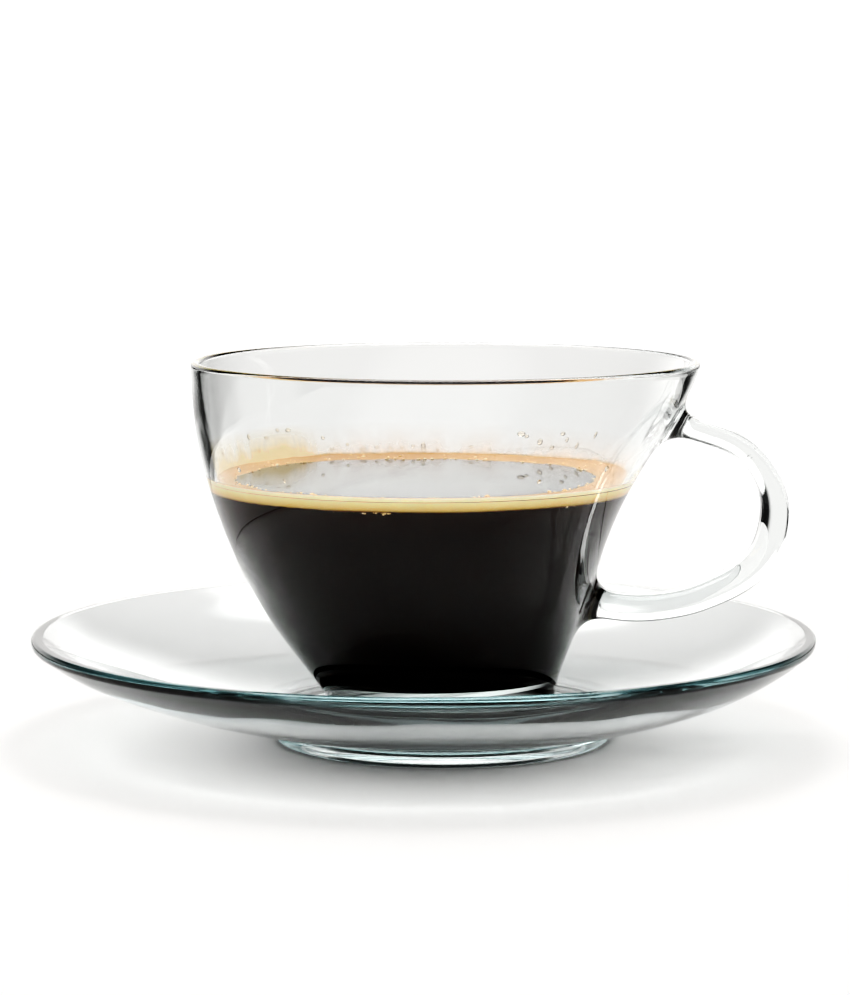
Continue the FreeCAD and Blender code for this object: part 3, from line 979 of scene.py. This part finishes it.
def world():
    """Soft studio: a large soft box high behind the object, a white cove low behind it,
    white cards at table height, and dim walls between; what the camera sees behind the
    object is plain white."""
    w = bpy.data.worlds.new("studio")
    bpy.context.scene.world = w
    w.use_nodes = True
    nodes, links = w.node_tree.nodes, w.node_tree.links
    nodes.clear()
    out = nodes.new("ShaderNodeOutputWorld")
    co = nodes.new("ShaderNodeTexCoord")

    def toward(azimuth, elevation):
        """Cosine of the angle between a direction and this one; azimuth 0 is straight behind."""
        a, e = math.radians(azimuth), math.radians(elevation)
        dot = nodes.new("ShaderNodeVectorMath")
        dot.operation = "DOT_PRODUCT"
        links.new(co.outputs["Generated"], dot.inputs[0])
        dot.inputs[1].default_value = (math.sin(a) * math.cos(e), math.cos(a) * math.cos(e), math.sin(e))
        return dot.outputs["Value"]

    def fade(value, start, stop, low, high, smooth=True):
        m = nodes.new("ShaderNodeMapRange")
        m.interpolation_type = "SMOOTHSTEP" if smooth else "LINEAR"
        for key, v in (("From Min", start), ("From Max", stop), ("To Min", low), ("To Max", high)):
            m.inputs[key].default_value = v
        links.new(value, m.inputs["Value"])
        return m.outputs["Result"]

    def both(op, a, b):
        m = nodes.new("ShaderNodeMath")
        m.operation = op
        for k, v in enumerate((a, b)):
            if isinstance(v, (int, float)):
                m.inputs[k].default_value = v
            else:
                links.new(v, m.inputs[k])
        return m.outputs[0]

    def along(azimuth, elevation):
        return toward(azimuth, elevation)

    def squared(value):
        return both("MULTIPLY", value, value)

    # the soft box: an ellipse of sky centred high behind the object
    side = both("MULTIPLY", along(90, 0), 1 / math.sin(math.radians(BOX_WIDE)))
    tall = both("MULTIPLY", along(180, 90 - BOX_UP), 1 / math.sin(math.radians(BOX_TALL)))
    edge = both("ADD", squared(side), squared(tall))
    box = both("MULTIPLY", fade(edge, 0.72, 1.32, BOX_LIGHT, 0.0), fade(along(0, BOX_UP), 0.0, 0.1, 0.0, 1.0))
    # a weaker soft light in front, above the camera
    fill = fade(along(180, FILL_UP), math.cos(math.radians(50)), math.cos(math.radians(18)), 0.0, FILL_LIGHT)
    box = both("MAXIMUM", box, fill)
    # the cove: low and white, brightest behind
    up = along(0, 90)
    cove = fade(up, math.sin(math.radians(COVE_TOP + 14)), math.sin(math.radians(COVE_TOP)), 0.0, 1.0)
    cove = both("MULTIPLY", cove, fade(along(0, 0), 0.35, 0.98, COVE_FRONT, COVE_BACK))
    sky = both("ADD", both("MAXIMUM", box, cove), WALLS)
    # below the table's edge: four white cards, dark between them
    cross = both("ABSOLUTE", both("MULTIPLY", along(90, 0), along(0, 0)), 0.0)
    flat = both("ADD", both("ADD", squared(along(90, 0)), squared(along(0, 0))), 0.0001)
    # one more card to the front right, so that the glass is clear from the back left too
    cross = both("MULTIPLY", cross, fade(along(135, 0), 0.84, 0.93, 1.0, 0.0))
    cards = fade(both("DIVIDE", cross, flat), 0.24, 0.38, CARDS, 0.04)
    total = nodes.new("ShaderNodeMix")
    links.new(fade(up, -0.015, 0.015, 0.0, 1.0), total.inputs[0])
    links.new(cards, total.inputs[2])
    links.new(sky, total.inputs[3])
    total = total.outputs[0]
    bg = nodes.new("ShaderNodeBackground")
    links.new(total, bg.inputs["Strength"])
    bg.inputs["Color"].default_value = (0.845, 0.836, 0.824, 1.0)
    white = nodes.new("ShaderNodeBackground")
    white.inputs["Color"].default_value = (1, 1, 1, 1)
    white.inputs["Strength"].default_value = 1.1
    lp = nodes.new("ShaderNodeLightPath")
    mix = nodes.new("ShaderNodeMixShader")
    links.new(lp.outputs["Is Camera Ray"], mix.inputs[0])
    links.new(bg.outputs[0], mix.inputs[1])
    links.new(white.outputs[0], mix.inputs[2])
    links.new(mix.outputs[0], out.inputs["Surface"])
    w.cycles.sampling_method = "MANUAL"
    w.cycles.sample_map_resolution = 1024
    return w


BOX_UP, BOX_WIDE, BOX_TALL, BOX_LIGHT = 75.0, 25.0, 28.0, 5.2    # degrees, degrees, degrees, radiance
COVE_BACK, COVE_FRONT, COVE_TOP = 1.7, 0.14, 12.0                # radiance, radiance, degrees
CARDS, WALLS = 1.12, 0.06
FILL_UP, FILL_LIGHT = 42.0, 0.85
world()

cam = bpy.data.cameras.new("camera")
cam.sensor_width = 36.0
cam.lens = 3326.8 * 36.0 / 995.0
cam.clip_start = 0.05
cam.clip_end = 50.0
camera = bpy.data.objects.new("camera", cam)
camera.location = (0.28 * MM, -636.6 * MM, 121.75 * MM)
camera.rotation_euler = (math.pi / 2 - 0.1173, 0.0, 0.0)
bpy.context.scene.collection.objects.link(camera)
scene = bpy.context.scene
scene.camera = camera
scene.view_settings.view_transform = "Standard"
scene.view_settings.look = "None"
# a studio print's deep blacks
scene.view_settings.use_curve_mapping = True
curve = scene.view_settings.curve_mapping
line = curve.curves[3]
for x, y in ((0.014, 0.0005), (0.03, 0.0032), (0.055, 0.0100), (0.10, 0.034), (0.17, 0.103), (0.3, 0.278), (0.6, 0.605)):
    line.points.new(x, y)
for p in line.points:
    p.handle_type = "AUTO_CLAMPED"
curve.update()
scene.cycles.max_bounces = 32
scene.cycles.transmission_bounces = 32
scene.cycles.glossy_bounces = 12
scene.cycles.diffuse_bounces = 4
scene.cycles.transparent_max_bounces = 24
scene.cycles.caustics_reflective = True
scene.cycles.caustics_refractive = True
scene.cycles.sample_clamp_indirect = 8.0
scene.cycles.blur_glossy = 0.3
